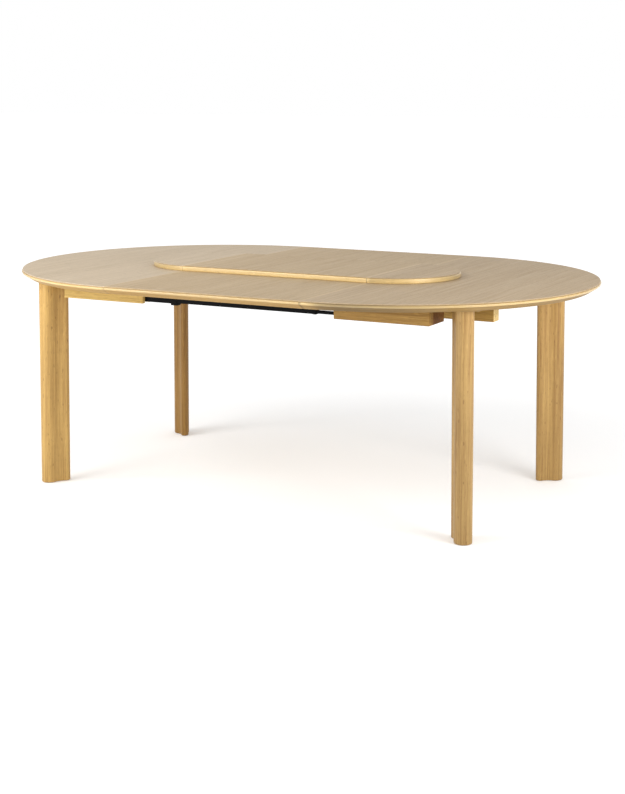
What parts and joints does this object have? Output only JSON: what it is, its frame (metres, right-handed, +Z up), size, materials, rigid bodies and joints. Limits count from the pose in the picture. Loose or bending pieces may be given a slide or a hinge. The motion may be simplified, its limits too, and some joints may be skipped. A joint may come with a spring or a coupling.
{
  "type": "extending dining table",
  "caption": "Oval extending dining table in oak: half-round tops on lobed legs, a lift-out centre leaf on telescopic slides and a low raised plateau along the middle.",
  "frame": {"origin": "on the floor, under the middle of the table with its leaf in", "axes": "+X along the table's length, +Y towards its back, +Z up; the picture looks at the -Y side"},
  "size_m": [2.0498, 1.35, 0.753],
  "materials": {
    "oak_veneer": "matt lacquered oak veneer",
    "oak_lipping": "satin oiled solid oak",
    "oak_leg": "satin oiled solid oak",
    "oak_rail": "planed solid oak",
    "black_steel": "black coated",
    "black_plastic": "moulded black",
    "zinc_steel": "zinc plated",
    "felt": "pressed felt"
  },
  "bodies": {
    "left_half": {"top_left_panel": "oak_veneer", "top_left_lipping": "oak_lipping", "plateau_left_panel": "oak_veneer", "plateau_left_lipping": "oak_lipping", "locating_pins_left": "zinc_steel", "leg_screws_left": "black_steel", "foot_pads_left": "felt", "rail_screws_left": "zinc_steel", "runner_housing_front_left": "oak_rail", "batten_front_left": "oak_rail", "leg_front_left": "oak_leg", "leg_plate_front_left": "black_steel", "runner_housing_back_left": "oak_rail", "batten_back_left": "oak_rail", "leg_back_left": "oak_leg", "leg_plate_back_left": "black_steel", "slide_front_outer": "black_steel", "slide_front_stop": "black_plastic", "slide_back_outer": "black_steel", "slide_back_stop": "black_plastic", "slide_screws_left": "zinc_steel"},
    "right_half": {"top_right_panel": "oak_veneer", "top_right_lipping": "oak_lipping", "plateau_right_panel": "oak_veneer", "plateau_right_lipping": "oak_lipping", "locating_pins_right": "zinc_steel", "leg_screws_right": "black_steel", "foot_pads_right": "felt", "rail_screws_right": "zinc_steel", "runner_housing_front_right": "oak_rail", "batten_front_right": "oak_rail", "leg_front_right": "oak_leg", "leg_plate_front_right": "black_steel", "runner_housing_back_right": "oak_rail", "batten_back_right": "oak_rail", "leg_back_right": "oak_leg", "leg_plate_back_right": "black_steel", "slide_front_inner": "black_steel", "slide_front_packer": "oak_rail", "slide_back_inner": "black_steel", "slide_back_packer": "oak_rail", "slide_screws_right": "zinc_steel"},
    "front_slide_middle": {"slide_front_middle": "black_steel", "slide_front_guide": "black_plastic"},
    "back_slide_middle": {"slide_back_middle": "black_steel", "slide_back_guide": "black_plastic"},
    "leaf": {"leaf_panel": "oak_veneer", "leaf_lipping_front": "oak_lipping", "leaf_lipping_back": "oak_lipping", "plateau_leaf_panel": "oak_veneer", "plateau_leaf_lipping_front": "oak_lipping", "plateau_leaf_lipping_back": "oak_lipping", "leaf_bearer_left": "oak_rail", "leaf_bearer_right": "oak_rail", "leaf_bearer_screws": "zinc_steel"}
  },
  "joints": [
    {"name": "right_half_slide", "type": "slide", "parent": "left_half", "child": "right_half", "axis": [1, 0, 0], "range_m": [0, 0.06]},
    {"name": "leaf_lift", "type": "slide", "parent": "left_half", "child": "leaf", "axis": [0, 0, 1], "range_m": [0, 0.3]},
    {"name": "front_middle_slide", "type": "slide", "parent": "left_half", "child": "front_slide_middle", "axis": [1, 0, 0], "range_m": [0, 0.03]},
    {"name": "back_middle_slide", "type": "slide", "parent": "left_half", "child": "back_slide_middle", "axis": [1, 0, 0], "range_m": [0, 0.03]}
  ],
  "couplings": [
    {"joint": "front_middle_slide", "follows": "right_half_slide", "ratio": 0.5},
    {"joint": "back_middle_slide", "follows": "right_half_slide", "ratio": 0.5}
  ]
}
